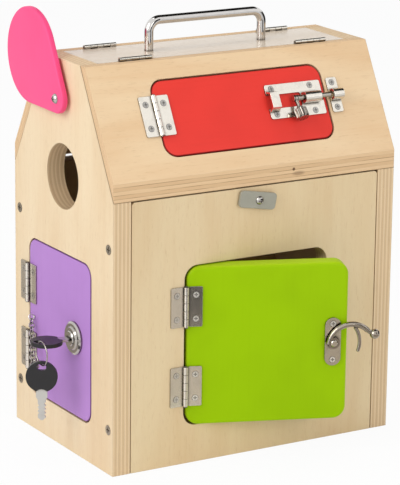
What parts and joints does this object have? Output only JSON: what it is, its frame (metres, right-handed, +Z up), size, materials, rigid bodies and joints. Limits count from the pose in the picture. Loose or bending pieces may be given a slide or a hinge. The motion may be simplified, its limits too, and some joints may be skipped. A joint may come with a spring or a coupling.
{
  "type": "wooden busy board",
  "caption": "House-shaped plywood busy board with hinged roof lids, painted doors with a bolt, swing latch and key lock, a round hole with a swing cover, a turn button and a handle.",
  "frame": {"origin": "middle of the footprint, on the surface the house stands on", "axes": "+Z up; -Y out of the front wall with the green door; -X out of the gable with the round hole"},
  "size_m": [0.2927, 0.2206, 0.341],
  "materials": {
    "plywood": "birch plywood, clear satin varnish",
    "red_paint": "plywood with thin red paint, satin",
    "green_paint": "plywood with thin yellow-green paint, satin",
    "purple_paint": "plywood with thin lilac paint, satin",
    "pink_paint": "plywood with pink paint, satin",
    "chrome": "bright plating",
    "nickel": "nickel plated sheet steel, worn to satin",
    "zinc": "zinc plated screws and pins",
    "grey_metal": "satin grey sheet metal",
    "black_plastic": "moulded black plastic"
  },
  "bodies": {
    "house": {"left_gable": "plywood", "right_gable": "plywood", "front_wall": "plywood", "back_wall": "plywood", "floor_board": "plywood", "top_board": "plywood", "wall_screws": "zinc", "carry_handle": "chrome", "handle_screws": "zinc", "ridge_hinge_fixed_leaves": "nickel", "ridge_hinge_pins": "zinc", "green_hinge_wall_leaves": "nickel", "purple_hinge_wall_leaves": "nickel", "door_hinge_pins": "zinc", "wall_leaf_screws": "zinc", "latch_keeper": "nickel", "latch_keeper_screws": "zinc", "button_screw": "chrome", "button_washer": "zinc", "cover_screw": "chrome", "cover_spacer": "zinc"},
    "front_lid": {"front_lid": "plywood", "front_ridge_lid_leaves": "nickel", "red_hinge_lid_leaf": "nickel", "red_hinge_pin": "zinc", "bolt_keeper": "nickel", "bolt_keeper_loop": "nickel", "front_lid_screws": "zinc"},
    "back_lid": {"back_lid": "plywood", "back_ridge_lid_leaves": "nickel", "back_lid_screws": "zinc"},
    "red_door": {"red_door": "red_paint", "red_hinge_door_leaf": "nickel", "bolt_base": "nickel", "red_door_screws": "zinc"},
    "bolt_rod": {"bolt_rod": "chrome"},
    "bolt_knob": {"bolt_knob": "chrome"},
    "green_door": {"green_door": "green_paint", "green_hinge_door_leaves": "nickel", "latch_base": "nickel", "green_door_screws": "zinc"},
    "latch_arm": {"latch_arm": "chrome"},
    "purple_door": {"purple_door": "purple_paint", "purple_hinge_door_leaves": "nickel", "purple_door_screws": "zinc", "lock_housing": "chrome", "lock_nut": "zinc", "tether_screw": "zinc", "tether_chain": "chrome"},
    "lock_plug": {"lock_plug": "chrome", "lock_cam": "zinc", "cam_screw": "zinc"},
    "key": {"key_blade": "nickel", "key_head": "black_plastic"},
    "key_ring": {"key_ring": "chrome"},
    "spare_key": {"spare_key_blade": "nickel", "spare_key_head": "black_plastic"},
    "swing_cover": {"swing_cover": "pink_paint"},
    "turn_button": {"turn_button": "grey_metal"}
  },
  "joints": [
    {"name": "front_lid_hinge", "type": "hinge", "parent": "house", "child": "front_lid", "pos_m": [0, -0.0279, 0.3085], "axis": [-1, 0, 0], "range_deg": [0, 100]},
    {"name": "back_lid_hinge", "type": "hinge", "parent": "house", "child": "back_lid", "pos_m": [0, 0.0279, 0.3085], "axis": [1, 0, 0], "range_deg": [0, 100]},
    {"name": "red_door_hinge", "type": "hinge", "parent": "front_lid", "child": "red_door", "pos_m": [-0.0755, -0.05849, 0.27007], "axis": [0, -0.4837, -0.8752], "range_deg": [0, 105]},
    {"name": "bolt_slide", "type": "slide", "parent": "red_door", "child": "bolt_rod", "axis": [1, 0, 0], "range_m": [-0.0115, 0.005]},
    {"name": "bolt_knob_turn", "type": "hinge", "parent": "bolt_rod", "child": "bolt_knob", "pos_m": [0.045, -0.06025, 0.27184], "axis": [-1, 0, 0], "range_deg": [0, 152]},
    {"name": "green_door_hinge", "type": "hinge", "parent": "house", "child": "green_door", "pos_m": [-0.063, -0.082, 0.094], "axis": [0, 0, -1], "range_deg": [-21, 74]},
    {"name": "latch_arm_turn", "type": "hinge", "parent": "green_door", "child": "latch_arm", "pos_m": [0.0425, -0.12528, 0.0936], "axis": [-0.3584, -0.9336, 0], "range_deg": [-25, 75]},
    {"name": "purple_door_hinge", "type": "hinge", "parent": "house", "child": "purple_door", "pos_m": [-0.127, 0.056, 0.092], "axis": [0, 0, -1], "range_deg": [0, 100]},
    {"name": "lock_turn", "type": "hinge", "parent": "purple_door", "child": "lock_plug", "pos_m": [-0.125, -0.019, 0.0935], "axis": [-1, 0, 0], "range_deg": [0, 90]},
    {"name": "key_slide", "type": "slide", "parent": "lock_plug", "child": "key", "axis": [-1, 0, 0], "range_m": [0, 0.03]},
    {"name": "key_ring_swing", "type": "hinge", "parent": "key", "child": "key_ring", "pos_m": [-0.1566, -0.0254, 0.0935], "axis": [0, 1, 0], "range_deg": [-10, 20]},
    {"name": "spare_key_swing", "type": "hinge", "parent": "key_ring", "child": "spare_key", "pos_m": [-0.1566, -0.0254, 0.07814], "axis": [0, 1, 0], "range_deg": [-20, 25]},
    {"name": "cover_swing", "type": "hinge", "parent": "house", "child": "swing_cover", "pos_m": [-0.13, -0.0025, 0.278], "axis": [-1, 0, 0], "range_deg": [-150, 150]},
    {"name": "turn_button_turn", "type": "hinge", "parent": "house", "child": "turn_button", "pos_m": [0, -0.082, 0.2015], "axis": [0, 1, 0], "range_deg": [-100, 80]}
  ]
}
